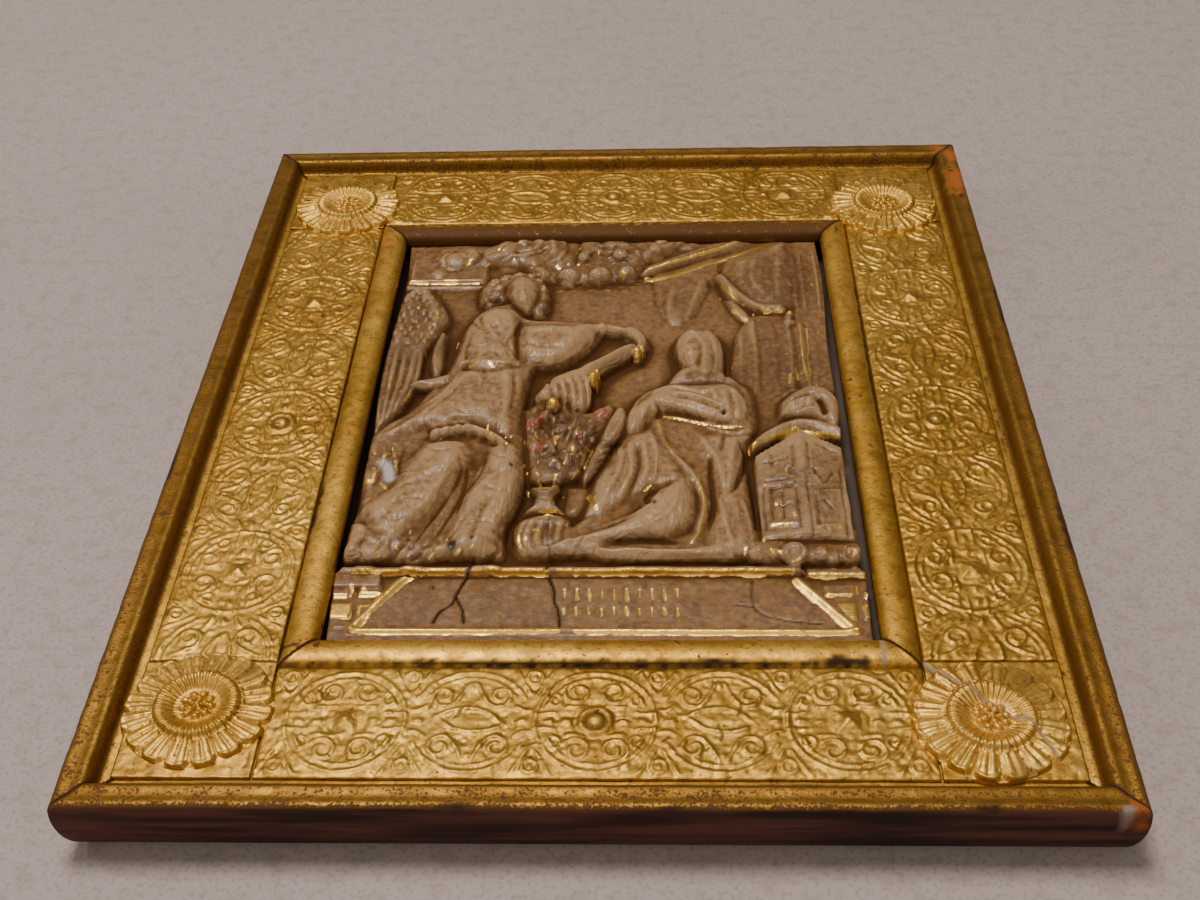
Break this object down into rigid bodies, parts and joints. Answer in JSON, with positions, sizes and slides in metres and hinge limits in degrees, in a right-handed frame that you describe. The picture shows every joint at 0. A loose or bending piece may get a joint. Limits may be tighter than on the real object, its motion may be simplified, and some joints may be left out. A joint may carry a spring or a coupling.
{
  "type": "relief plaque",
  "caption": "Small carved alabaster relief of the Annunciation in a mitred gilded wood frame with pressed strapwork strips and corner rosettes.",
  "frame": {"origin": "centre of the flat back, where it lies against a wall", "axes": "+Z out of the carved face, +Y towards the top of the picture, +X to the viewer's right"},
  "size_m": [0.176, 0.203, 0.0137],
  "materials": {
    "alabaster": "polished, brown patina in the hollows, worn gilding on the edges",
    "gilded_wood": "worn gilding over red bole, outer side bare dark wood",
    "gilded_paste": "worn gilding over pressed paste",
    "back_board": "bare, dark with age"
  },
  "bodies": {
    "root": {"alabaster_relief": "alabaster", "back_panel": "back_board", "bottom_rail": "gilded_wood", "top_rail": "gilded_wood", "left_stile": "gilded_wood", "right_stile": "gilded_wood", "bottom_ornament_strip": "gilded_paste", "top_ornament_strip": "gilded_paste", "left_ornament_strip": "gilded_paste", "right_ornament_strip": "gilded_paste", "lower_left_rosette": "gilded_paste", "lower_right_rosette": "gilded_paste", "upper_left_rosette": "gilded_paste", "upper_right_rosette": "gilded_paste"}
  },
  "joints": []
}
